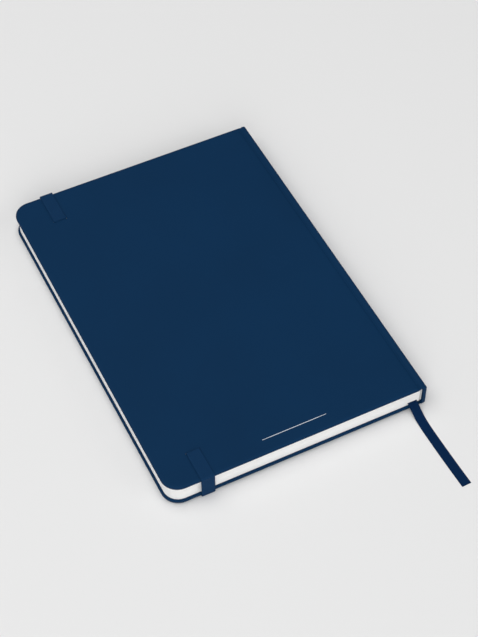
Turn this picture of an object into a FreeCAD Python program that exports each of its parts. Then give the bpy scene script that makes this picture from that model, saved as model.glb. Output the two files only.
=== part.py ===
"""A case-bound logbook with an elastic closure and a ribbon marker, lying closed on its front cover.

X runs from the fore-edge (-X) to the spine (+X), Y from the tail (-Y) to the head (+Y), Z is up.
The origin is the middle of the closed book's base. All sizes are in millimetres.
"""
import FreeCAD, Part
import math
import os

V = FreeCAD.Vector

# Driving dimensions of the closed book.
COVER_WIDTH = 148.0
COVER_HEIGHT = 213.0
CORNER_RADIUS = 9.5
COVER_THICKNESS = 2.0
COVER_GAP = 10.1            # between the two covers' inner faces
BASE_LIFT = 0.5             # the elastic under the front cover holds it this far off the table
SQUARE = 1.3                # how far a cover stands out past the pages

# Case: boards covered in one sheet of leatherette.
SKIN = 0.3
SKIN_EDGE = 0.25
TURN_IN = 12.0
TURN_IN_THICKNESS = 0.17
PASTEDOWN_THICKNESS = 0.08
BOARD_END = 69.5            # the cover board's spine edge
JOINT_GAP = 0.35            # slack between a cover's edge and the flexible joint strip
SPINE_DROP = 0.5            # the spine stands this much lower than each cover
SPINE_BOARD_THICKNESS = 1.4
SPINE_CLEAR = 0.02          # glue line round the spine board
SPINE_ROUND = 0.9           # rounding of the spine's two long edges
WINDOW_RADIUS = 1.0         # corners of the bare board between the turn-ins
HINGE_X = 72.05             # line that the covers and leaves turn about

# Book block: sewn sections, flyleaves and the spine linings.
SECTION_COUNT = 9
BACK_EDGE = 71.1            # folded edge of the sections
FLYLEAF_THICKNESS = 0.25
LEAF_GAP = 0.05
RIBBON_GAP = 0.3            # room for the ribbon above the first section
MULL_THICKNESS = 0.15
MULL_MARGIN = 8.0           # the thread and the mull stop short of head and tail
LINER_THICKNESS = 0.5
THREAD_WIDTH = 0.2
STITCH_COUNT = 7
STITCH_LENGTH = 16.0

# Elastic closure.
ELASTIC_X = -52.3
ELASTIC_WIDTH = 7.6
ELASTIC_THICKNESS = 0.7
ELASTIC_GAP = 0.1           # between the strap and the covers' edges
SLIT_TAIL = 17.0            # slit to tail edge
SLIT_HEAD = 20.5            # slit to head edge
SLIT_PLAY = 0.1
STUB_LENGTH = 10.0
STUB_THICKNESS = 0.4
TAB_LIP = 0.4
DENT = 0.2                  # how deep the strap presses into the front covering
DENT_PLAY = 0.3

# Ribbon marker.
RIBBON_WIDTH = 5.4
RIBBON_THICKNESS = 0.2
RIBBON_HEAD_MARGIN = 4.0
RIBBON_LIE = 0.12           # height of its middle line on the table
ROUND = 0.45                # share of the shorter run that an arc takes

HALF_HEIGHT = COVER_HEIGHT / 2
FORE_EDGE = -COVER_WIDTH / 2
SPINE_FACE = COVER_WIDTH / 2
FRONT_INSIDE = BASE_LIFT + COVER_THICKNESS
BACK_INSIDE = FRONT_INSIDE + COVER_GAP
TOP = BACK_INSIDE + COVER_THICKNESS
BOARD_THICKNESS = COVER_THICKNESS - SKIN - TURN_IN_THICKNESS - PASTEDOWN_THICKNESS
BLOCK_RADIUS = CORNER_RADIUS - SQUARE
BLOCK_HALF = HALF_HEIGHT - SQUARE
FRONT_LEAF = FRONT_INSIDE + LEAF_GAP
FIRST_SECTION = FRONT_LEAF + FLYLEAF_THICKNESS + LEAF_GAP
BACK_LEAF = BACK_INSIDE - LEAF_GAP - FLYLEAF_THICKNESS
SECTION_PITCH = (BACK_LEAF - LEAF_GAP - FIRST_SECTION - RIBBON_GAP) / SECTION_COUNT
SPINE_LOW = BASE_LIFT + SPINE_DROP
SPINE_HIGH = TOP - SPINE_DROP


def box(x, y, z):
    """A box from its low and high place along each axis."""
    return Part.makeBox(x[1] - x[0], y[1] - y[0], z[1] - z[0], V(x[0], y[0], z[0]))


def leaf(fore, spine, half, radius, low, high):
    """A flat sheet or slab with its two fore-edge corners rounded and its spine corners square."""
    inset = radius * (1 - math.sqrt(0.5))
    tail_in = V(fore, -half + radius, low)
    tail_out = V(fore + radius, -half, low)
    head_in = V(fore, half - radius, low)
    head_out = V(fore + radius, half, low)
    tail_mid = V(fore + inset, -half + inset, low)
    head_mid = V(fore + inset, half - inset, low)
    edges = [
        Part.Arc(tail_in, tail_mid, tail_out).toShape(),
        Part.LineSegment(tail_out, V(spine, -half, low)).toShape(),
        Part.LineSegment(V(spine, -half, low), V(spine, half, low)).toShape(),
        Part.LineSegment(V(spine, half, low), head_out).toShape(),
        Part.Arc(head_out, head_mid, head_in).toShape(),
        Part.LineSegment(head_in, tail_in).toShape(),
    ]
    return Part.Face(Part.Wire(edges)).extrude(V(0, 0, high - low))


def upside_down(shape):
    """Mirrors a front cover piece to the back cover, about the middle of the book's thickness."""
    return shape.mirror(V(0, 0, (BASE_LIFT + TOP) / 2), V(0, 0, 1))


ELASTIC_SIDES = (ELASTIC_X - ELASTIC_WIDTH / 2, ELASTIC_X + ELASTIC_WIDTH / 2)
LEG_IN = HALF_HEIGHT + ELASTIC_GAP
LEG_OUT = LEG_IN + ELASTIC_THICKNESS
LIP_LOW = TOP - TAB_LIP


def cover_board():
    """The grey board of the front cover, held inside the covering."""
    low = BASE_LIFT + SKIN
    half = HALF_HEIGHT - SKIN_EDGE
    return leaf(FORE_EDGE + SKIN_EDGE, BOARD_END, half, CORNER_RADIUS - SKIN_EDGE, low, low + BOARD_THICKNESS)


def cover_skin():
    """Leatherette over the front board: outer face, wrapped edges and the turn-ins on the inside."""
    edge = BOARD_END + SKIN_EDGE
    inside = BASE_LIFT + SKIN + BOARD_THICKNESS
    whole = leaf(FORE_EDGE, edge, HALF_HEIGHT, CORNER_RADIUS, BASE_LIFT, inside + TURN_IN_THICKNESS)
    window_sides = (FORE_EDGE + TURN_IN, edge - TURN_IN, HALF_HEIGHT - TURN_IN)
    window = leaf(*window_sides, WINDOW_RADIUS, inside, FRONT_INSIDE)
    return whole.cut(cover_board()).cut(window)


def pastedown():
    """The endpaper glued over the board and turn-ins, sunk between the turn-ins."""
    inside = BASE_LIFT + SKIN + BOARD_THICKNESS
    face = inside + TURN_IN_THICKNESS
    sheet = leaf(FORE_EDGE + SQUARE, BOARD_END, BLOCK_HALF, BLOCK_RADIUS, face, FRONT_INSIDE)
    edge = BOARD_END + SKIN_EDGE
    window_sides = (FORE_EDGE + TURN_IN, edge - TURN_IN, HALF_HEIGHT - TURN_IN)
    sunk = leaf(*window_sides, WINDOW_RADIUS, inside, face)
    return sheet.fuse(sunk).removeSplitter()


def tab(side, slit):
    """One end of the elastic: glued stub inside the cover, up through the slit, out to the edge."""
    y_slit = HALF_HEIGHT - slit
    stub_low = BACK_INSIDE + PASTEDOWN_THICKNESS + TURN_IN_THICKNESS
    stub = box(ELASTIC_SIDES, (y_slit - STUB_LENGTH, y_slit), (stub_low, stub_low + STUB_THICKNESS))
    riser = box(ELASTIC_SIDES, (y_slit - ELASTIC_THICKNESS, y_slit), (stub_low, TOP + ELASTIC_THICKNESS))
    top = box(ELASTIC_SIDES, (y_slit - ELASTIC_THICKNESS, LEG_OUT), (TOP, TOP + ELASTIC_THICKNESS))
    lip = box(ELASTIC_SIDES, (LEG_IN, LEG_OUT), (LIP_LOW, TOP + ELASTIC_THICKNESS))
    whole = stub.fuse([riser, top, lip]).removeSplitter()
    if side < 0:
        whole = whole.mirror(V(0, 0, 0), V(0, 1, 0))
    return whole


def tab_room(side, slit):
    """The slit through the back cover and the pocket that the glued stub lies in."""
    y_slit = HALF_HEIGHT - slit
    wide = (ELASTIC_SIDES[0] - SLIT_PLAY, ELASTIC_SIDES[1] + SLIT_PLAY)
    pocket_low = BACK_INSIDE + PASTEDOWN_THICKNESS + TURN_IN_THICKNESS
    deep = (pocket_low, pocket_low + STUB_THICKNESS + SLIT_PLAY)
    pocket = box(wide, (y_slit - STUB_LENGTH - SLIT_PLAY, y_slit), deep)
    through = (y_slit - ELASTIC_THICKNESS - SLIT_PLAY, y_slit + SLIT_PLAY)
    room = box(wide, through, (pocket_low, TOP + SLIT_PLAY)).fuse(pocket)
    if side < 0:
        room = room.mirror(V(0, 0, 0), V(0, 1, 0))
    return room


def strap():
    """The rest of the elastic: down both page edges and across under the front cover."""
    run = box(ELASTIC_SIDES, (-LEG_OUT, LEG_OUT), (0, ELASTIC_THICKNESS))
    legs = [box(ELASTIC_SIDES, sorted((side * LEG_IN, side * LEG_OUT)), (0, LIP_LOW)) for side in (-1, 1)]
    return run.fuse(legs).removeSplitter()


def strap_dent():
    """The shallow channel that the strap presses into the front covering."""
    wide = (ELASTIC_SIDES[0] - DENT_PLAY, ELASTIC_SIDES[1] + DENT_PLAY)
    return box(wide, (-LEG_OUT, LEG_OUT), (0, ELASTIC_THICKNESS))


def spine_covering():
    """The covering round the spine board, with the flexible joint strips on both covers' sides."""
    strip_end = BOARD_END + SKIN_EDGE + JOINT_GAP
    whole = box((strip_end, SPINE_FACE), (-HALF_HEIGHT, HALF_HEIGHT), (SPINE_LOW, SPINE_HIGH))
    hollow_edge = SPINE_FACE - SKIN - SPINE_BOARD_THICKNESS - SPINE_CLEAR
    inner = (SPINE_LOW + SKIN, SPINE_HIGH - SKIN)
    past = HALF_HEIGHT + SKIN
    hollow = box((strip_end - SKIN, SPINE_FACE - SKIN), (-past, past), inner)
    long_edges = [e for e in whole.Edges if e.BoundBox.YLength > HALF_HEIGHT]
    outer = [e for e in long_edges if e.BoundBox.XMin > SPINE_FACE - SKIN]
    return whole.makeFillet(SPINE_ROUND, outer).cut(hollow), hollow_edge, inner


def section_levels(index):
    """Low and high place of a section; the ribbon's gap lies above the first one."""
    low = FIRST_SECTION + index * SECTION_PITCH + (RIBBON_GAP if index else 0)
    top = low + SECTION_PITCH
    return low, (top - LEAF_GAP if index == SECTION_COUNT - 2 else top)


def thread_runs(low, high):
    """Pairs of upright runs of sewing thread, which link the folds of all the sections."""
    runs = []
    span = 2 * (BLOCK_HALF - MULL_MARGIN) - STITCH_LENGTH
    for station in range(STITCH_COUNT):
        start = -span / 2 - STITCH_LENGTH / 2 + span * station / (STITCH_COUNT - 1)
        x = (BACK_EDGE, BACK_EDGE + THREAD_WIDTH)
        for end in (start, start + STITCH_LENGTH - THREAD_WIDTH):
            runs.append(box(x, (end, end + THREAD_WIDTH), (low, high)))
    return Part.makeCompound(runs)


def rounded_path(points):
    """Straight runs joined by tangent arcs, as (kind, points) pieces, in the plane Z = 0."""
    pieces = []
    start = points[0]
    for before, corner, after in zip(points, points[1:], points[2:]):
        back = before - corner
        ahead = after - corner
        shorter = min(back.Length, ahead.Length)
        turn = math.pi - back.getAngle(ahead)
        radius = ROUND * shorter / math.tan(turn / 2)
        print("  turn %.1f deg, radius %.1f mm" % (math.degrees(turn), radius))
        back.normalize()
        ahead.normalize()
        enter = corner + back * (ROUND * shorter)
        leave = corner + ahead * (ROUND * shorter)
        inward = back + ahead
        inward.normalize()
        middle = corner + inward * (radius / math.cos(turn / 2) - radius)
        pieces.append(("run", (start, enter)))
        pieces.append(("arc", (enter, middle, leave)))
        start = leave
    pieces.append(("run", (start, points[-1])))
    return pieces


def strip(points, width):
    """A flat strip of the given width along a rounded path, as a face in the plane Z = 0."""
    path = rounded_path(points)

    def side(offset):
        edges = []
        for kind, p in path:
            if kind == "arc":
                arc = Part.Arc(*p)
                first, last = arc.FirstParameter, arc.LastParameter
                along = [V(*arc.tangent(t)[0]) for t in (first, (first + last) / 2, last)]
            else:
                along = [p[1] - p[0]] * 2
            moved = []
            for point, direction in zip(p, along):
                normal = V(-direction.y, direction.x, 0)
                normal.normalize()
                moved.append(point + normal * offset)
            if kind == "arc":
                edges.append(Part.Arc(*moved).toShape())
            else:
                edges.append(Part.LineSegment(*moved).toShape())
        return edges, moved[-1]

    left, left_end = side(width / 2)
    right, right_end = side(-width / 2)
    left_start = left[0].Vertexes[0].Point
    right_start = right[0].Vertexes[0].Point
    ends = [
        Part.LineSegment(left_start, right_start).toShape(),
        Part.LineSegment(left_end, right_end).toShape(),
    ]
    edges = Part.__sortEdges__(left + right + ends)
    return Part.Face(Part.Wire(edges)), sum(e.Length for e in left + right) / 2


# Ribbon route: x, y and height of its middle line, from the pages' tail edge out onto the table.
RIBBON_LEVEL = FIRST_SECTION + SECTION_PITCH + RIBBON_GAP / 2
RIBBON_ROUTE = [
    (66.6, -BLOCK_HALF, RIBBON_LEVEL),
    (66.55, -109.2, 2.35),
    (66.45, -114.0, 0.55),
    (66.3, -120.0, RIBBON_LIE),
    (66.35, -129.0, RIBBON_LIE),
    (66.5, -140.0, RIBBON_LIE + 0.05),
    (66.75, -150.0, RIBBON_LIE + 0.03),
    (67.1, -160.2, RIBBON_LIE),
]


def ribbon():
    """The free ribbon: its side outline pushed through its plan outline."""
    side_face, side_length = strip([V(y, z, 0) for x, y, z in RIBBON_ROUTE], RIBBON_THICKNESS)
    plan_face, plan_length = strip([V(x, y, 0) for x, y, z in RIBBON_ROUTE], RIBBON_WIDTH)
    reach = 2 * RIBBON_WIDTH
    placed = FreeCAD.Matrix(0, 0, 1, 0, 1, 0, 0, 0, 0, 1, 0, 0, 0, 0, 0, 1)
    side_face = side_face.transformGeometry(placed)
    side_face.translate(V(RIBBON_ROUTE[0][0] - reach, 0, 0))
    edgewise = side_face.extrude(V(2 * reach, 0, 0))
    plan = plan_face.extrude(V(0, 0, TOP))
    whole = edgewise.common(plan)
    length = math.hypot(side_length, plan_length - (RIBBON_ROUTE[0][1] - RIBBON_ROUTE[-1][1]))
    share = whole.Volume / (RIBBON_WIDTH * RIBBON_THICKNESS * length)
    print("  ribbon length %.1f mm, volume %.3f of section times length" % (length, share))
    return whole


def ribbon_inside():
    """The ribbon's held length, lying in the gutter up to the head of the spine."""
    x = (RIBBON_ROUTE[0][0] - RIBBON_WIDTH / 2, RIBBON_ROUTE[0][0] + RIBBON_WIDTH / 2)
    z = (RIBBON_LEVEL - RIBBON_THICKNESS / 2, RIBBON_LEVEL + RIBBON_THICKNESS / 2)
    return box(x, (-BLOCK_HALF, BLOCK_HALF - RIBBON_HEAD_MARGIN), z)


def make_nodes():
    nodes = {}
    nodes["front_board"] = cover_board()
    nodes["front_skin"] = cover_skin().cut(strap_dent())
    nodes["front_pastedown"] = pastedown()
    rooms = [tab_room(-1, SLIT_TAIL), tab_room(1, SLIT_HEAD)]
    nodes["back_board"] = upside_down(cover_board()).cut(rooms)
    nodes["back_skin"] = upside_down(cover_skin()).cut(rooms)
    nodes["back_pastedown"] = upside_down(pastedown())
    covering, board_inside, board_levels = spine_covering()
    nodes["spine_skin"] = covering
    board_x = (board_inside, SPINE_FACE - SKIN - SPINE_CLEAR)
    board_z = (board_levels[0] + SPINE_CLEAR, board_levels[1] - SPINE_CLEAR)
    nodes["spine_board"] = box(board_x, (-HALF_HEIGHT + SKIN, HALF_HEIGHT - SKIN), board_z)
    fore = FORE_EDGE + SQUARE
    for index in range(SECTION_COUNT):
        low, high = section_levels(index)
        nodes["section_%02d" % (index + 1)] = leaf(fore, BACK_EDGE, BLOCK_HALF, BLOCK_RADIUS, low, high)
    for name, low in (("front_flyleaf", FRONT_LEAF), ("back_flyleaf", BACK_LEAF)):
        nodes[name] = leaf(fore, BACK_EDGE, BLOCK_HALF, BLOCK_RADIUS, low, low + FLYLEAF_THICKNESS)
    block_low, block_high = FIRST_SECTION, section_levels(SECTION_COUNT - 1)[1]
    nodes["sewing_thread"] = thread_runs(block_low, block_high)
    mull_half = BLOCK_HALF - MULL_MARGIN
    mull_x = BACK_EDGE + THREAD_WIDTH
    liner_x = (mull_x + MULL_THICKNESS, mull_x + MULL_THICKNESS + LINER_THICKNESS)
    nodes["mull"] = box((mull_x, liner_x[0]), (-mull_half, mull_half), (block_low, block_high))
    nodes["spine_liner"] = box(liner_x, (-BLOCK_HALF, BLOCK_HALF), (block_low, block_high))
    nodes["elastic_tab_tail"] = tab(-1, SLIT_TAIL)
    nodes["elastic_tab_head"] = tab(1, SLIT_HEAD)
    nodes["elastic_strap"] = strap()
    nodes["ribbon_inside"] = ribbon_inside()
    nodes["ribbon_marker"] = ribbon()
    return nodes


os.makedirs("parts", exist_ok=True)
for name, shape in make_nodes().items():
    shape.exportStep("parts/%s.step" % name)
    bounds = shape.BoundBox
    sides = (bounds.XMin, bounds.XMax, bounds.YMin, bounds.YMax, bounds.ZMin, bounds.ZMax)
    print("%-18s solids %d valid %s %s" % (name, len(shape.Solids), shape.isValid(),
                                           " ".join("%.2f" % s for s in sides)))
hinge_levels = (BACK_INSIDE + COVER_THICKNESS / 2, BASE_LIFT + COVER_THICKNESS / 2)
print("hinge x %.2f, back z %.2f, front z %.2f" % (HINGE_X, *hinge_levels))
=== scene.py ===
import math
import random

import bmesh
import bpy
from mathutils import Matrix, Vector


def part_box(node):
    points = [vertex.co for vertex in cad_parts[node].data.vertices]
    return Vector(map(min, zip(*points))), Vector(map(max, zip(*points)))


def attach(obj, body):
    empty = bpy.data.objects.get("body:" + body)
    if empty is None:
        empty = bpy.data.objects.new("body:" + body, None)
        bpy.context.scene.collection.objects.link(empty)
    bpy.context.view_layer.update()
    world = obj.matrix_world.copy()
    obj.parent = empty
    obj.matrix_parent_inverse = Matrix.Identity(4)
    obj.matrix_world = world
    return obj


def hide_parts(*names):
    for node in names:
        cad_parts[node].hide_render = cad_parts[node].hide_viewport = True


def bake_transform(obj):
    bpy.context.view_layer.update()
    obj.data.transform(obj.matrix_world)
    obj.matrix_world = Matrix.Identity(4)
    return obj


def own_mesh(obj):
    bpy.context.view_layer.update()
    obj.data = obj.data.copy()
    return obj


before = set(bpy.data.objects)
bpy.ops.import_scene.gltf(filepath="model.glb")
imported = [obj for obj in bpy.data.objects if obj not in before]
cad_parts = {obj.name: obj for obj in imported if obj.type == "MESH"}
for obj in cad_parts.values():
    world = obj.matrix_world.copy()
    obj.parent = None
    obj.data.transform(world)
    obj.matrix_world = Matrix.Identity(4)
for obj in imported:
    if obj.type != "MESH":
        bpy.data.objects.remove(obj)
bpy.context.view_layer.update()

mm = 0.001

# The view: the closed book is seen from above its tail and fore-edge.
# A long lens keeps its edges nearly parallel.
view_azimuth = math.radians(-25.98)
view_elevation = math.radians(51.44)
view_roll = math.radians(-0.38)
view_from = Vector((-0.23593, -0.52006, 0.70873))

lens = bpy.data.cameras.new("camera")
lens.sensor_width = 36
lens.lens = 93.6
lens.clip_start = 0.01
camera = bpy.data.objects.new("camera", lens)
turn = Matrix.Rotation(view_azimuth, 4, "Z") @ Matrix.Rotation(math.pi / 2 - view_elevation, 4, "X")
camera.matrix_world = Matrix.Translation(view_from) @ turn @ Matrix.Rotation(view_roll, 4, "Z")
bpy.context.scene.collection.objects.link(camera)
bpy.context.scene.camera = camera


# Ribbon marker: a narrow satin ribbon with woven selvedges, dyed navy and cut straight across. Its upper
# end is glued at the head of the spine and it lies in the gutter. The free end leaves the pages at the
# tail, drops over the front cover's edge and lies on the table.
ribbon_width = 5.4 * mm
ribbon_thickness = 0.2 * mm
block_low, block_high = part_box("section_05")
held_low, held_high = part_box("ribbon_inside")
ribbon_level = (held_low.z + held_high.z) / 2
ribbon_route = [
    (0.06660, block_low.y, ribbon_level),
    (0.06655, -0.1092, 0.00235),
    (0.06645, -0.1140, 0.00055),
    (0.06630, -0.1200, 0.00012),
    (0.06635, -0.1290, 0.00012),
    (0.06650, -0.1400, 0.00017),
    (0.06675, -0.1500, 0.00015),
    (0.06710, -0.1602, 0.00012),
]


def spline_line(points, order=3, steps=10):
    """Points along a smooth open spline that the given points steer."""
    curve = bpy.data.curves.new("route", "CURVE")
    curve.dimensions = "3D"
    curve.resolution_u = steps
    spline = curve.splines.new("NURBS")
    spline.points.add(len(points) - 1)
    for knot, place in zip(spline.points, points):
        knot.co = (*place, 1)
    spline.order_u = order
    spline.use_endpoint_u = True
    holder = bpy.data.objects.new("route", curve)
    line = [v.co.copy() for v in bpy.data.meshes.new_from_object(holder).vertices]
    bpy.data.objects.remove(holder)
    return line


def finish_mesh(name, bm, material, smooth_angle=35):
    """Turns a working mesh into an object with its material, smooth except at sharp edges."""
    bmesh.ops.recalc_face_normals(bm, faces=bm.faces)
    mesh = bpy.data.meshes.new(name)
    for face in bm.faces:
        face.smooth = True
    for edge in bm.edges:
        if edge.is_manifold and edge.calc_face_angle() > math.radians(smooth_angle):
            edge.smooth = False
    bm.to_mesh(mesh)
    bm.free()
    piece = bpy.data.objects.new(name, mesh)
    bpy.context.scene.collection.objects.link(piece)
    mesh.materials.append(material)
    return piece


def sweep_band(line, section):
    """A closed band along a line. section is its outline as (across, up), with across lying near X. The map
    named Cloth holds the place across and along the band, in metres."""
    bm = bmesh.new()
    cloth = bm.loops.layers.uv.new("Cloth")
    rings, travelled, total = [], [], 0.0
    for i, place in enumerate(line):
        ahead = line[min(i + 1, len(line) - 1)]
        behind = line[max(i - 1, 0)]
        along = (ahead - behind).normalized()
        up = along.cross(Vector((1, 0, 0))).normalized()
        across = up.cross(along)
        rings.append([bm.verts.new(place + across * a + up * u) for a, u in section])
        total += (place - behind).length
        travelled.append(total)
    count = len(section)
    for i in range(len(rings) - 1):
        for k in range(count):
            n = (k + 1) % count
            face = bm.faces.new((rings[i][k], rings[i][n], rings[i + 1][n], rings[i + 1][k]))
            corners = ((k, i), (n, i), (n, i + 1), (k, i + 1))
            for loop, (at, step) in zip(face.loops, corners):
                loop[cloth].uv = (section[at][0], travelled[step])
    for ring, step in ((rings[0], 0), (rings[-1], -1)):
        face = bm.faces.new(ring)
        for loop in face.loops:
            loop[cloth].uv = (section[ring.index(loop.vert)][0], travelled[step])
    return bm


def new_material(name, color, roughness, **values):
    """A material whose even values sit on its own shader."""
    material = bpy.data.materials.new(name)
    material.use_nodes = True
    shader = material.node_tree.nodes["Principled BSDF"]
    shader.inputs["Base Color"].default_value = (*color, 1)
    shader.inputs["Roughness"].default_value = roughness
    for socket, value in values.items():
        shader.inputs[socket.replace("_", " ")].default_value = value
    material.diffuse_color = (*color, 1)
    return material, material.node_tree, shader


def calc(tree, operation, a, b=0.0, c=0.0):
    """One sum in a node tree; each input is a number or another node's output."""
    node = tree.nodes.new("ShaderNodeMath")
    node.operation = operation
    for socket, value in zip(node.inputs, (a, b, c)):
        if isinstance(value, bpy.types.NodeSocket):
            tree.links.new(value, socket)
        else:
            socket.default_value = value
    return node.outputs[0]


def new_group(name, inputs, outputs):
    """An empty shader group with named sockets, given as (name, kind, default)."""
    group = bpy.data.node_groups.new(name, "ShaderNodeTree")
    for label, kind, default in inputs:
        socket = group.interface.new_socket(label, in_out="INPUT", socket_type="NodeSocket" + kind)
        if default is not None:
            socket.default_value = default
    for label, kind in outputs:
        group.interface.new_socket(label, in_out="OUTPUT", socket_type="NodeSocket" + kind)
    return group, group.nodes.new("NodeGroupInput").outputs, group.nodes.new("NodeGroupOutput").inputs


def place_group(tree, group, **values):
    """Puts a group in a material, with numbers or other outputs on its inputs."""
    node = tree.nodes.new("ShaderNodeGroup")
    node.node_tree = group
    for label, value in values.items():
        socket = node.inputs[label.replace("_", " ")]
        if isinstance(value, bpy.types.NodeSocket):
            tree.links.new(value, socket)
        else:
            socket.default_value = value
    return node.outputs


def mapped(tree, layer):
    """A named flat map as two numbers."""
    source = tree.nodes.new("ShaderNodeUVMap")
    source.uv_map = layer
    split = tree.nodes.new("ShaderNodeSeparateXYZ")
    tree.links.new(source.outputs["UV"], split.inputs[0])
    return split.outputs["X"], split.outputs["Y"]


def bump(tree, shader, height, distance, strength=1.0):
    """Raises the surface by a height map."""
    node = tree.nodes.new("ShaderNodeBump")
    node.inputs["Strength"].default_value = strength
    node.inputs["Distance"].default_value = distance
    tree.links.new(height, node.inputs["Height"])
    tree.links.new(node.outputs["Normal"], shader.inputs["Normal"])


def shade_between(tree, mask, dark, light):
    """A colour that goes from dark to light with a mask."""
    node = tree.nodes.new("ShaderNodeMix")
    node.data_type = "RGBA"
    node.inputs["A"].default_value = (*dark, 1)
    node.inputs["B"].default_value = (*light, 1)
    tree.links.new(mask, node.inputs["Factor"])
    return node.outputs["Result"]


def scaled(color, factor):
    """A colour made darker or lighter."""
    return tuple(min(1.0, channel * factor) for channel in color)


def woven_threads():
    """Warp and weft of a narrow woven band: raised threads, with each pick passing over and under. Its
    Shade is painted shade, darker in the hollows between the threads, mixed with a random fluff.
    """
    inputs = [("Across", "Float", 0.0), ("Along", "Float", 0.0), ("Warp pitch", "Float", 0.3 * mm),
              ("Weft pitch", "Float", 0.3 * mm)]
    group, given, made = new_group("Woven threads", inputs, [("Height", "Float"), ("Shade", "Float")])
    warp = calc(group, "MULTIPLY", calc(group, "DIVIDE", given["Across"], given["Warp pitch"]), math.pi)
    weft = calc(group, "MULTIPLY", calc(group, "DIVIDE", given["Along"], given["Weft pitch"]), math.pi)
    over = calc(group, "MULTIPLY", calc(group, "SINE", warp), calc(group, "SINE", weft))
    ribs = calc(group, "ABSOLUTE", calc(group, "SINE", warp))
    picks = calc(group, "ABSOLUTE", calc(group, "COSINE", weft))
    height = calc(group, "MULTIPLY_ADD", over, 0.35, calc(group, "MULTIPLY_ADD", ribs, 0.4, picks))
    group.links.new(height, made["Height"])
    fluff = group.nodes.new("ShaderNodeTexNoise")
    fluff.inputs["Scale"].default_value = 900
    # Painted shade: darker where the threads dip and lighter on their tops, mixed with a random fluff tone.
    shade = calc(group, "MULTIPLY_ADD", height, 0.35, calc(group, "MULTIPLY", fluff.outputs["Fac"], 0.5))
    group.links.new(shade, made["Shade"])
    return group


threads = woven_threads()


def woven_material(name, color, roughness, warp_pitch, weft_pitch, relief, **values):
    """A dyed woven band, with painted shade in the hollows between its threads and its raised threads
    painted lighter.
    """
    material, tree, shader = new_material(name, color, roughness, **values)
    across, along = mapped(tree, "Cloth")
    weave = place_group(tree, threads, Across=across, Along=along, Warp_pitch=warp_pitch,
                        Weft_pitch=weft_pitch)
    # The tint paints shade into the hollows and lightens the raised threads.
    tint = shade_between(tree, weave["Shade"], scaled(color, 0.72), scaled(color, 1.3))
    tree.links.new(tint, shader.inputs["Base Color"])
    bump(tree, shader, weave["Height"], relief, 0.7)
    return material


ribbon_navy = (0.0004, 0.0150, 0.0570)
satin = woven_material("navy satin ribbon", ribbon_navy, 0.55, 0.18 * mm, 0.26 * mm, 0.03 * mm,
                       Specular_IOR_Level=0.06)


def ribbon_section(width, thickness):
    """Flat satin between two slightly thicker selvedges."""
    selvedge = 0.35 * mm
    half, body, edge = width / 2, thickness * 0.42, thickness * 0.6
    upper = [(half, 0), (half - 0.08 * mm, edge * 0.8), (half - 0.2 * mm, edge), (half - selvedge, body)]
    inner = [(half * share, body) for share in (0.6, 0.3, 0.0, -0.3, -0.6)]
    mirrored = [(-a, u) for a, u in reversed(upper)]
    top = upper + inner + mirrored
    return top + [(a, -u) for a, u in reversed(top[1:-1])]


satin_section = ribbon_section(ribbon_width, ribbon_thickness)
ribbon_line = spline_line(ribbon_route)
ribbon = finish_mesh("ribbon_marker_satin", sweep_band(ribbon_line, satin_section), satin)
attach(ribbon, "book_block")
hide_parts("ribbon_marker")

held_tail = Vector((ribbon_route[0][0], held_low.y, ribbon_level))
held_head = Vector((ribbon_route[0][0], held_high.y, ribbon_level))
held_steps = 12
held_line = [held_tail.lerp(held_head, i / held_steps) for i in range(held_steps + 1)]
held_ribbon = finish_mesh("ribbon_held_in_gutter", sweep_band(held_line, satin_section), satin)
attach(held_ribbon, "book_block")
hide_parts("ribbon_inside")


# Covering of the covers: one sheet of navy soft-touch leatherette with a very fine pebble. It is glued to
# the grey boards, pulled round their edges and turned in on the inside, with the fore-edge corners
# gathered round their radius.
back_low, back_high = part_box("back_skin")
front_low, front_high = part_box("front_skin")
corner_radius = 9.5 * mm
square_corner = 0.25 * mm
smallest_radius = 0.15 * mm
turn_in_radius = 1.0 * mm
board_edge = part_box("back_board")[1].x

# The covering in section, in millimetres.
turn_in = 12.0
over_reach, over_depth = 0.85, 0.75     # rounding from the outer face down to the rim
under_reach, under_depth = 0.5, 0.72    # rounding from the rim to the turn-in
rim_bottom = 1.2
joint_reach = 5.0                       # how much further in the rounding reaches beside the joint


def wrap_profile():
    """The covering in section, in millimetres, as (inset from the edge, inset beside the joint, depth below
    the outer face): over the rounding, down the rim, under to the turn-in's end and back along the board.
    Beside the joint the rounding reaches further in."""
    profile = [(6.0, 6.0, 0.0), (2.0, 2.0, 0.0)]
    steps = 5
    for step in range(1, steps + 1):
        angle = math.pi / 2 * step / steps
        inset = over_reach * (1 - math.sin(angle))
        profile.append((inset, inset + joint_reach * inset ** 3, over_depth * (1 - math.cos(angle))))
    for step in range(steps):
        angle = math.pi / 2 * step / (steps - 1)
        inset = under_reach * (1 - math.cos(angle))
        profile.append((inset, inset, rim_bottom + under_depth * math.sin(angle)))
    under = [(8.0, 1.92), (turn_in, 1.90), (turn_in, 1.76), (0.32, 1.76), (0.26, 1.70), (0.26, 0.34),
             (0.32, 0.29)]
    return profile + [(inset, inset, depth) for inset, depth in under]


def rounded_outline(fore, spine, half, fore_radius, spine_radius, steps=9):
    """Points round a cover: two large fore-edge corners and two nearly square spine corners."""
    centres = [
        (fore + fore_radius, -half + fore_radius, fore_radius, math.pi),
        (spine - spine_radius, -half + spine_radius, spine_radius, 1.5 * math.pi),
        (spine - spine_radius, half - spine_radius, spine_radius, 0.0),
        (fore + fore_radius, half - fore_radius, fore_radius, 0.5 * math.pi),
    ]
    points = []
    for x, y, radius, start in centres:
        for step in range(steps + 1):
            angle = start + math.pi / 2 * step / steps
            points.append((x + radius * math.cos(angle), y + radius * math.sin(angle)))
    return points


def bridge(bm, lower, upper):
    """Joins two rings of the same count with faces."""
    for k in range(len(lower)):
        n = (k + 1) % len(lower)
        bm.faces.new((lower[k], lower[n], upper[n], upper[k]))


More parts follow.
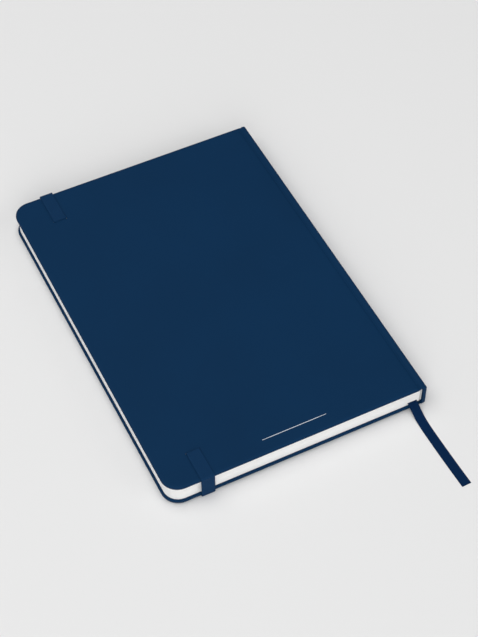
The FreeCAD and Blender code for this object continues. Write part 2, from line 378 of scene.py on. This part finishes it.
def wrapped_cover(low, high, outside, outward):
    """The covering of one cover: outside is the level of its outer face, and outward is 1 up or -1 down."""
    bm = bmesh.new()
    rings = []
    for inset, joint_inset, depth in wrap_profile():
        inset *= mm
        at_joint = high.x - joint_inset * mm
        fore_radius = max(corner_radius - inset, turn_in_radius)
        spine_radius = max(square_corner - inset, smallest_radius)
        outline = rounded_outline(low.x + inset, at_joint, high.y - inset, fore_radius, spine_radius)
        level = outside - outward * depth * mm
        rings.append([bm.verts.new((x, y, level)) for x, y in outline])
    for lower, upper in zip(rings, rings[1:]):
        bridge(bm, lower, upper)
    bm.faces.new(rings[0])
    bm.faces.new(rings[-1])
    return bm


def leather_grain():
    """Embossed pebble of a fine leatherette, with a soft random unevenness in its colour and a little
    painted shade in the pebble's low parts.
    """
    inputs = [("Pebbles per metre", "Float", 2600.0)]
    group, given, made = new_group("Leather pebble", inputs, [("Height", "Float"), ("Tone", "Float")])
    place = group.nodes.new("ShaderNodeTexCoord").outputs["Object"]
    pebble = group.nodes.new("ShaderNodeTexVoronoi")
    pebble.feature = "SMOOTH_F1"
    group.links.new(place, pebble.inputs["Vector"])
    group.links.new(given["Pebbles per metre"], pebble.inputs["Scale"])
    crease = group.nodes.new("ShaderNodeTexNoise")
    crease.inputs["Detail"].default_value = 4
    group.links.new(place, crease.inputs["Vector"])
    group.links.new(calc(group, "MULTIPLY", given["Pebbles per metre"], 0.45), crease.inputs["Scale"])
    height = calc(group, "MULTIPLY_ADD", crease.outputs["Fac"], 0.6, pebble.outputs["Distance"])
    group.links.new(height, made["Height"])
    cloud = group.nodes.new("ShaderNodeTexNoise")
    cloud.inputs["Scale"].default_value = 22
    cloud.inputs["Detail"].default_value = 5
    group.links.new(place, cloud.inputs["Vector"])
    # Tone: a random cloud, plus a little painted shade that follows the pebble's height.
    tone = calc(group, "MULTIPLY_ADD", cloud.outputs["Fac"], 0.75, calc(group, "MULTIPLY", height, 0.2))
    group.links.new(tone, made["Tone"])
    return group


def leatherette_material():
    """Matt soft-touch leatherette."""
    navy = (0.0026, 0.0262, 0.0750)
    material, tree, shader = new_material("navy soft-touch leatherette", navy, 0.62,
                                          Specular_IOR_Level=0.06)
    grain = place_group(tree, leather_grain(), Pebbles_per_metre=2600.0)
    # The tint carries the random cloud and the painted shade of the pebble.
    tint = shade_between(tree, grain["Tone"], scaled(navy, 0.86), scaled(navy, 1.14))
    tree.links.new(tint, shader.inputs["Base Color"])
    matt = calc(tree, "MULTIPLY_ADD", grain["Tone"], 0.1, 0.56)
    tree.links.new(matt, shader.inputs["Roughness"])
    bump(tree, shader, grain["Height"], 0.02 * mm, 0.5)
    return material


leatherette = leatherette_material()


def cut(piece, *places):
    """Cuts boxes out of a piece; each is a middle and a size."""
    for middle, size in places:
        bm = bmesh.new()
        bmesh.ops.create_cube(bm, size=1)
        cutter = bpy.data.objects.new("cutter", bpy.data.meshes.new("cutter"))
        bm.to_mesh(cutter.data)
        bm.free()
        cutter.matrix_world = Matrix.Translation(middle) @ Matrix.Diagonal((*size, 1))
        bpy.context.scene.collection.objects.link(cutter)
        bpy.context.view_layer.update()
        modifier = piece.modifiers.new("cut", "BOOLEAN")
        modifier.object = cutter
        modifier.solver = "EXACT"
        modifier.operation = "DIFFERENCE"
        shaped = bpy.data.meshes.new_from_object(piece.evaluated_get(bpy.context.evaluated_depsgraph_get()))
        piece.modifiers.clear()
        old = piece.data
        piece.data = shaped
        bpy.data.meshes.remove(old)
        bpy.data.objects.remove(cutter)


# Elastic closure: a flat woven elastic whose rubber cores show as lengthwise ribs. Each end goes through a
# slit in the back cover and is glued under the endpaper. The strap between them runs down the page edges
# and under the front cover.
elastic_width = 7.6 * mm
elastic_thickness = 0.7 * mm
stub_length = 10 * mm
stub_rise = 0.2 * mm
slit_bend = 0.2 * mm
edge_bend = 0.45 * mm
strap_low, strap_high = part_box("elastic_strap")
strap_out = strap_high.y - elastic_thickness / 2
elastic_middle = (strap_low.x + strap_high.x) / 2
slits = {-1: back_high.y - 17.0 * mm, 1: back_high.y - 20.5 * mm}
elastic_navy = (0.0040, 0.0280, 0.0790)
elastic_cloth = woven_material("navy woven elastic", elastic_navy, 0.66, 0.42 * mm, 0.36 * mm, 0.05 * mm,
                               Specular_IOR_Level=0.06)


def elastic_section():
    """Outline of the elastic: eight cores across, rounded at both edges."""
    cores, steps = 8, 5
    half = elastic_width / 2
    round_edge = 0.3 * mm
    groove = 0.07 * mm
    top = []
    for k in range(cores * steps + 1):
        across = half - round_edge - (elastic_width - 2 * round_edge) * k / (cores * steps)
        ridge = abs(math.sin(math.pi * k / steps))
        top.append((across, elastic_thickness / 2 - groove * (1 - ridge)))
    edge = [(half, 0), (half - 0.08 * mm, elastic_thickness * 0.3)]
    over = edge + top + [(-edge[1][0], edge[1][1]), (-half, 0)]
    return over + [(a, -u) for a, u in reversed(over[1:-1])]


def bend_round(corners, radius, steps=6, run_steps=6):
    """A line through the corners, each rounded to the radius, with points along the straight runs."""
    line = [corners[0]]
    for before, corner, after in zip(corners, corners[1:], corners[2:]):
        back = (before - corner).normalized()
        ahead = (after - corner).normalized()
        half_turn = (math.pi - back.angle(ahead)) / 2
        reach = radius * math.tan(half_turn)
        middle = corner + (back + ahead).normalized() * (radius / math.cos(half_turn))
        enter, leave = corner + back * reach, corner + ahead * reach
        start = line[-1]
        line += [start.lerp(enter, (k + 1) / run_steps) for k in range(run_steps)]
        first, last = enter - middle, leave - middle
        line += [middle + first.slerp(last, (k + 1) / steps) * radius for k in range(steps)]
    start = line[-1]
    line += [start.lerp(corners[-1], (k + 1) / run_steps) for k in range(run_steps)]
    return line


def elastic_tab(name, side):
    """One end of the elastic: glued stub, up through the slit, flat to the edge and just over it."""
    lift = elastic_thickness / 2
    stub_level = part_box(name)[0].z + stub_rise
    slit = slits[side] - elastic_thickness / 2
    corners = [
        Vector((elastic_middle, side * (slits[side] - stub_length), stub_level)),
        Vector((elastic_middle, side * slit, stub_level)),
        Vector((elastic_middle, side * slit, back_high.z + lift)),
        Vector((elastic_middle, side * strap_out, back_high.z + lift)),
        Vector((elastic_middle, side * strap_out, strap_high.z)),
    ]
    line = bend_round(corners[:3], slit_bend)[:-1] + bend_round(corners[2:], edge_bend, run_steps=10)
    piece = finish_mesh(name + "_weave", sweep_band(line, elastic_section()), elastic_cloth, 60)
    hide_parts(name)
    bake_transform(piece)


def elastic_loop():
    """The strap: down one page edge, under the front cover and up the other edge."""
    lift = elastic_thickness / 2
    corners = [
        Vector((elastic_middle, -strap_out, strap_high.z)),
        Vector((elastic_middle, -strap_out, lift)),
        Vector((elastic_middle, strap_out, lift)),
        Vector((elastic_middle, strap_out, strap_high.z)),
    ]
    line = bend_round(corners, edge_bend, run_steps=14)
    piece = finish_mesh("elastic_strap_weave", sweep_band(line, elastic_section()), elastic_cloth, 60)
    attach(piece, "elastic")
    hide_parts("elastic_strap")
    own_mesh(piece)


elastic_tab("elastic_tab_tail", -1)
elastic_tab("elastic_tab_head", 1)
elastic_loop()


# Front and back cover: leatherette wrapped round board, cut where the elastic passes. The back cover has
# two narrow punched slits, and the front cover's outside has the dent that the strap has pressed into it.
slit_play = Vector((0.3 * mm, 0.25 * mm, 0))
slit_depth = 3 * mm
dent_play = 0.6 * mm
back_cover = finish_mesh("back_cover_leatherette", wrapped_cover(back_low, back_high, back_high.z, 1),
                         leatherette)
slit_size = Vector((elastic_width, elastic_thickness, slit_depth)) + slit_play
for side, slit in slits.items():
    place = side * (slit - elastic_thickness / 2)
    cut(back_cover, (Vector((elastic_middle, place, back_high.z)), slit_size))
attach(back_cover, "back_cover")
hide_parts("back_skin")

front_cover = finish_mesh("front_cover_leatherette", wrapped_cover(front_low, front_high, front_low.z, -1),
                          leatherette)
dent_size = Vector((elastic_width + dent_play, 2 * strap_out + elastic_thickness, 2 * elastic_thickness))
cut(front_cover, (Vector((elastic_middle, 0, 0)), dent_size))
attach(front_cover, "front_cover")
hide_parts("front_skin")


# Spine and joints: the same sheet of leatherette runs on over a narrow flexible joint beside each board,
# goes round the spine board and is folded in at head and tail. Each half bends with one cover.
spine_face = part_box("spine_skin")[1].x
spine_middle = (front_low.z + back_high.z) / 2

# The outside from the joint to the middle of the spine, and then back along the inside. A smooth line
# follows the points, which are (distance in from the spine's face, depth below the cover) in millimetres.
joint_outside = [
    (4.36, 0.40), (3.9, 0.38), (3.2, 0.60), (2.6, 0.50), (2.2, 0.18), (1.6, 0.18), (0.9, 0.30),
    (0.1, 0.62), (0.0, 1.1), (0.0, 1.9),
]
joint_inside = [(1.95, 2.6), (2.0, 1.2), (2.9, 0.75), (4.25, 1.02)]
wall = 1.9

# How the fold at head and tail rounds off: (distance from the end, how far the outside is drawn in), in
# millimetres. The spine's face is drawn in up to the shoulder, and the joint's top by a smaller share.
folded_end = [(0.0, 0.3), (0.06, 0.12), (0.22, 0.036), (0.55, 0.0)]
shoulder = 1.0
shallow = 0.3


def smooth_section(points):
    """A smooth flat line that the given points steer."""
    return [tuple(place.xy) for place in spline_line([(*point, 0) for point in points], steps=3)]


def spine_half(name, outside, outward):
    """Half of the spine's covering with one joint. It flexes between the book block and one cover."""
    middle = abs(outside - spine_middle) / mm
    flat = middle * 0.6
    outer = smooth_section(joint_outside) + [(0.0, flat), (0.0, middle)]
    section = outer + [(wall, middle), (wall, flat)] + smooth_section(joint_inside)
    bm = bmesh.new()
    rings = []
    stations = [(-1, *end) for end in folded_end] + [(1, *end) for end in reversed(folded_end)]
    for side, inset, draw in stations:
        ring = []
        y = side * (back_high.y - inset * mm)
        for inward, depth in section:
            pull = draw if inward < shoulder else 0
            sink = draw * shallow if depth < shoulder <= inward else 0
            x = spine_face - (inward + pull) * mm
            ring.append(bm.verts.new((x, y, outside - outward * (depth + sink) * mm)))
        rings.append(ring)
    for lower, upper in zip(rings, rings[1:]):
        bridge(bm, lower, upper)
    bm.faces.new(rings[0])
    bm.faces.new(rings[-1])
    piece = finish_mesh(name, bm, leatherette, 50)
    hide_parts("spine_skin")
    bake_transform(piece)


spine_half("spine_leatherette_back", back_high.z, 1)
spine_half("spine_leatherette_front", front_low.z, -1)


# Foil rule: one thin plain line on the back cover near the tail. It is stamped in matt white foil with a
# heated rule, so its edges are slightly rounded.
rule_length = 36.6 * mm
rule_width = 0.35 * mm
rule_thickness = 0.03 * mm
rule_place = Vector((0.4 * mm, back_low.y + 8.0 * mm, back_high.z + 0.005 * mm))


def foil_rule():
    """A thin bar with rounded edges, partly pressed into the covering, and its slightly worn foil."""
    bm = bmesh.new()
    bmesh.ops.create_cube(bm, size=1)
    bmesh.ops.bevel(bm, geom=list(bm.verts) + list(bm.edges), offset=0.12, segments=2, affect="EDGES")
    size = Matrix.Diagonal((rule_length, rule_width, rule_thickness, 1))
    bm.transform(Matrix.Translation(rule_place) @ size)
    material, tree, shader = new_material("white foil", (0.62, 0.66, 0.72), 0.42)
    flake = tree.nodes.new("ShaderNodeTexNoise")
    flake.inputs["Scale"].default_value = 3000
    worn = calc(tree, "MULTIPLY_ADD", flake.outputs["Fac"], 0.3, 0.3)
    tree.links.new(worn, shader.inputs["Roughness"])
    return finish_mesh("foil_rule", bm, material)


rule = foil_rule()
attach(rule, "back_cover")


# Paper: the pages are smooth white writing paper with a faint fibre, printed with logbook rows and columns.
# The endpapers are a heavier plain sheet of nearly the same white. Both are trimmed after sewing.
def paper_fibre():
    """Fibre of smooth paper: short matted strands, as height and as a faint tone."""
    group, given, made = new_group("Paper fibre", [("Fibres per metre", "Float", 2500.0)],
                                   [("Height", "Float"), ("Tone", "Float")])
    place = group.nodes.new("ShaderNodeTexCoord").outputs["Object"]
    stretch = group.nodes.new("ShaderNodeMapping")
    stretch.inputs["Scale"].default_value = (1.0, 0.35, 1.0)
    group.links.new(place, stretch.inputs["Vector"])
    strand = group.nodes.new("ShaderNodeTexNoise")
    strand.inputs["Detail"].default_value = 5
    group.links.new(stretch.outputs["Vector"], strand.inputs["Vector"])
    group.links.new(given["Fibres per metre"], strand.inputs["Scale"])
    group.links.new(strand.outputs["Fac"], made["Height"])
    cloud = group.nodes.new("ShaderNodeTexNoise")
    cloud.inputs["Scale"].default_value = 60
    group.links.new(place, cloud.inputs["Vector"])
    both = calc(group, "ADD", strand.outputs["Fac"], cloud.outputs["Fac"])
    group.links.new(calc(group, "MULTIPLY", both, 0.5), made["Tone"])
    return group


fibre = paper_fibre()


def paper_material(name, color, roughness, print_over=None):
    """A sheet of paper. print_over is a function that prints on it: it takes a tree and a tint, and
    returns the printed tint."""
    material, tree, shader = new_material(name, color, roughness, Specular_IOR_Level=0.3)
    grain = place_group(tree, fibre, Fibres_per_metre=2500.0)
    tint = shade_between(tree, grain["Tone"], scaled(color, 0.975), scaled(color, 1.02))
    if print_over:
        tint = print_over(tree, tint)
    tree.links.new(tint, shader.inputs["Base Color"])
    bump(tree, shader, grain["Height"], 0.01 * mm, 0.5)
    return material


def ledger_ruling():
    """Rows and columns of a logbook page, from the place on the page in metres."""
    group, given, made = new_group("Ledger ruling", [("Across", "Float", 0.0), ("Up", "Float", 0.0)],
                                   [("Ink", "Float")])
    columns = (-64, -52, -36, -20, -8, 4, 16, 28, 40, 52, 64)
    top, row, header = 88 * mm, 7.0 * mm, 14 * mm
    half_line = 0.11 * mm
    side = 64.3 * mm

    def within(value, place, reach):
        """1 where a value is within reach of a place, and 0 elsewhere."""
        distance = calc(group, "ABSOLUTE", calc(group, "SUBTRACT", value, place))
        return calc(group, "LESS_THAN", distance, reach)

    below = calc(group, "SUBTRACT", top - header, given["Up"])
    on_row = calc(group, "LESS_THAN", calc(group, "PINGPONG", below, row / 2), half_line)
    ink = calc(group, "MULTIPLY", on_row, calc(group, "GREATER_THAN", below, -half_line))
    for edge in (top, -top):
        ink = calc(group, "MAXIMUM", ink, within(given["Up"], edge, 2 * half_line))
    for place in columns:
        reach = half_line * (2 if place in (columns[0], columns[-1]) else 1)
        ink = calc(group, "MAXIMUM", ink, within(given["Across"], place * mm, reach))
    frame_height = within(given["Up"], 0.0, top + 2 * half_line)
    frame_width = within(given["Across"], 0.0, side)
    inside = calc(group, "MULTIPLY", frame_height, frame_width)
    group.links.new(calc(group, "MULTIPLY", ink, inside), made["Ink"])
    return group


def print_ledger(tree, paper):
    """Prints the logbook rows and columns in pale blue-grey over the paper's tint."""
    across, up = mapped(tree, "Page")
    ruling = place_group(tree, ledger_ruling(), Across=across, Up=up)
    printed = tree.nodes.new("ShaderNodeMix")
    printed.data_type = "RGBA"
    printed.inputs["B"].default_value = (0.22, 0.33, 0.45, 1)
    tree.links.new(calc(tree, "MULTIPLY", ruling["Ink"], 0.75), printed.inputs["Factor"])
    tree.links.new(paper, printed.inputs["A"])
    return printed.outputs["Result"]


endpaper = paper_material("heavy white endpaper", (0.86, 0.86, 0.85), 0.75)
ledger_paper = paper_material("ruled white paper", (0.875, 0.87, 0.865), 0.72, print_ledger)


def add_leaf(bm, fore, spine, half, radius, low, high, bend_from=None):
    """Adds one closed sheet: fore-edge corners rounded, spine edge square. bend_from is where the
    close rows start that let it curve near the spine. The map named Page holds places in metres on the two
    faces, and a place off the ruling on the edges."""
    page = bm.loops.layers.uv.get("Page") or bm.loops.layers.uv.new("Page")
    arc_steps, bend_steps = 7, 26
    rows = [(fore + radius * (1 - math.cos(a)), half - radius + radius * math.sin(a))
            for a in (math.pi / 2 * k / arc_steps for k in range(arc_steps + 1))]
    if bend_from is not None:
        rows += [(bend_from + (spine - bend_from) * k / bend_steps, half) for k in range(bend_steps)]
    rows.append((spine, half))
    rings = []
    for x, reach in rows:
        corners = ((-reach, low), (reach, low), (reach, high), (-reach, high))
        rings.append([bm.verts.new((x, y, z)) for y, z in corners])
    faces = [bm.faces.new(rings[0]), bm.faces.new(rings[-1])]
    for near, far in zip(rings, rings[1:]):
        for k in range(4):
            n = (k + 1) % 4
            face = bm.faces.new((near[k], near[n], far[n], far[k]))
            if k in (0, 2):
                for loop in face.loops:
                    loop[page].uv = loop.vert.co.xy
            else:
                faces.append(face)
    for face in faces:
        for loop in face.loops:
            loop[page].uv = (-1, -1)


# Sections: each is four sheets folded into eight leaves. They are gathered, sewn through the folds
# and trimmed together, so no two leaves end in quite the same place.
leaves_per_section = 8
sheet_share = 0.92      # of each leaf's room in height, with a little air over and under the sheet
fold_depth = 0.3 * mm
block_radius = 8.2 * mm
gutter = 4.5 * mm
bend_reach = 1.5 * gutter
ribbon_room = 0.3 * mm
closed_gap = 0.02 * mm
section_drift = 0.04 * mm
leaf_drift = 0.07 * mm
head_drift = 0.06 * mm
cutting = random.Random(7)


def section_leaves(name, bend_from=None):
    """One section. The two beside the ribbon close up on it, because their paper gives round it."""
    low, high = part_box(name)
    if 0 < ribbon_level - high.z < ribbon_room:
        high.z = ribbon_level - closed_gap
    if 0 < low.z - ribbon_level < ribbon_room:
        low.z = ribbon_level + closed_gap
    pitch = (high.z - low.z) / leaves_per_section
    middle = (leaves_per_section - 1) / 2
    bm = bmesh.new()
    drift = cutting.uniform(-section_drift, section_drift)
    for k in range(leaves_per_section):
        fold = fold_depth * ((k - middle) / middle) ** 2
        fore = low.x + drift + cutting.uniform(0.0, leaf_drift)
        half = high.y - abs(drift) - cutting.uniform(0.0, head_drift)
        under = low.z + pitch * (k + (1 - sheet_share) / 2)
        over = under + pitch * sheet_share
        add_leaf(bm, fore, high.x - fold, half, block_radius, under, over, bend_from)
    piece = finish_mesh(name + "_leaves", bm, ledger_paper)
    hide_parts(name)
    return piece


moving_section = "section_09"
section_names = sorted(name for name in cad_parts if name.startswith("section_"))
for name in section_names:
    if name != moving_section:
        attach(section_leaves(name), "book_block")
last_section = section_leaves(moving_section, block_high.x - bend_reach)
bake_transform(last_section)


# Endpapers: one folded sheet at each end of the book. One half is glued down inside the cover, over
# the turn-ins and across the joint, and the other half is free and turns as the flyleaf.
trim = 0.05 * mm
paper_gap = 0.03 * mm
pastedown_thickness = 0.09 * mm
joint_rows = board_edge - 4 * mm


def flyleaf(name):
    """The free half, which bends at the gutter and turns with its body."""
    low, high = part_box(name)
    bm = bmesh.new()
    add_leaf(bm, low.x + trim, high.x, high.y - paper_gap, block_radius, low.z + paper_gap,
             high.z - paper_gap, high.x - bend_reach)
    piece = finish_mesh(name + "_sheet", bm, endpaper)
    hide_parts(name)
    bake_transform(piece)


def glued_endpaper(name, outward):
    """The pastedown with its hinge, which reaches across the joint to the sewn sections."""
    low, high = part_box(name)
    face = low.z if outward > 0 else high.z
    under, over = sorted((face, face + outward * pastedown_thickness))
    bm = bmesh.new()
    add_leaf(bm, low.x, block_high.x, high.y, block_radius, under, over, joint_rows)
    piece = finish_mesh(name + "_sheet", bm, endpaper)
    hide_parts(name)
    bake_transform(piece)


flyleaf("back_flyleaf")
flyleaf("front_flyleaf")
glued_endpaper("back_pastedown", 1)
glued_endpaper("front_pastedown", -1)


# Inside the case: dense grey boards, and over the folds of the sections the sewing thread, a strip
# of open mull and a white paper lining, all glued one on the other before the case goes on.
def lay_on(node, material):
    """Gives a part that stays as it was packed its material."""
    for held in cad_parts[node].material_slots:
        held.material = material


def speckled(name, color, roughness, scale, relief):
    """Rough pressed stock: pulp specks in its colour and its surface."""
    material, tree, shader = new_material(name, color, roughness)
    grain = place_group(tree, fibre, Fibres_per_metre=scale)
    tint = shade_between(tree, grain["Tone"], scaled(color, 0.7), scaled(color, 1.25))
    tree.links.new(tint, shader.inputs["Base Color"])
    bump(tree, shader, grain["Height"], relief)
    return material


def open_cloth(name, color, pitch):
    """Open plain weave, laid out along the spine and through the thickness of the book, with painted shade
    in the hollows between its threads.
    """
    material, tree, shader = new_material(name, color, 0.9)
    place = tree.nodes.new("ShaderNodeSeparateXYZ")
    tree.links.new(tree.nodes.new("ShaderNodeTexCoord").outputs["Object"], place.inputs[0])
    weave = place_group(tree, threads, Across=place.outputs["Y"], Along=place.outputs["Z"],
                        Warp_pitch=pitch, Weft_pitch=pitch)
    # Painted shade: the weave's Shade darkens the hollows and lightens the raised threads.
    tint = shade_between(tree, weave["Shade"], scaled(color, 0.5), scaled(color, 1.2))
    tree.links.new(tint, shader.inputs["Base Color"])
    bump(tree, shader, weave["Height"], 0.1 * mm)
    return material


grey_board = speckled("grey binder's board", (0.33, 0.32, 0.29), 0.9, 1500.0, 0.05 * mm)
for node in ("front_board", "back_board", "spine_board"):
    lay_on(node, grey_board)
lay_on("spine_liner", speckled("white lining paper", (0.80, 0.80, 0.78), 0.85, 1800.0, 0.01 * mm))
lay_on("mull", open_cloth("starched mull", (0.78, 0.76, 0.70), 0.8 * mm))
lay_on("sewing_thread", open_cloth("waxed sewing thread", (0.80, 0.78, 0.72), 0.2 * mm))


# Table: a plain pale matt top, far larger than the book, so that only the book stands out.
def table_top():
    """A flat sheet with a very faint cloud in its colour."""
    bm = bmesh.new()
    bmesh.ops.create_grid(bm, x_segments=2, y_segments=2, size=4)
    material, tree, shader = new_material("pale matt table", (0.80, 0.80, 0.80), 0.9,
                                          Specular_IOR_Level=0.1)
    cloud = tree.nodes.new("ShaderNodeTexNoise")
    cloud.inputs["Scale"].default_value = 2
    tint = shade_between(tree, cloud.outputs["Fac"], (0.79, 0.79, 0.79), (0.81, 0.81, 0.81))
    tree.links.new(tint, shader.inputs["Base Color"])
    return finish_mesh("table_top", bm, material)


table_top()


# Light: an even pale room, one very large soft panel overhead and two large soft panels lower down in
# front, one to the left and one to the right. All of them face the book.
def panel(name, place, size, power):
    """A square panel of light that faces the middle of the book's underside."""
    light = bpy.data.lights.new(name, "AREA")
    light.size = size
    light.energy = power
    lamp = bpy.data.objects.new(name, light)
    lamp.location = place
    lamp.rotation_euler = (-Vector(place)).to_track_quat("-Z", "Y").to_euler()
    bpy.context.scene.collection.objects.link(lamp)


panel("soft roof panel", (-0.5, 0.3, 2.2), 2.4, 36)
panel("soft front panel", (-1.44, -3.2, 1.6), 2.56, 69)
panel("soft side panel", (2.24, -2.72, 1.92), 2.56, 33.3)
room = bpy.data.worlds.new("pale room")
room.use_nodes = True
backdrop = room.node_tree.nodes["Background"]
backdrop.inputs["Color"].default_value = (1, 1, 1, 1)
backdrop.inputs["Strength"].default_value = 0.24
bpy.context.scene.world = room
bpy.context.scene.view_settings.view_transform = "Standard"
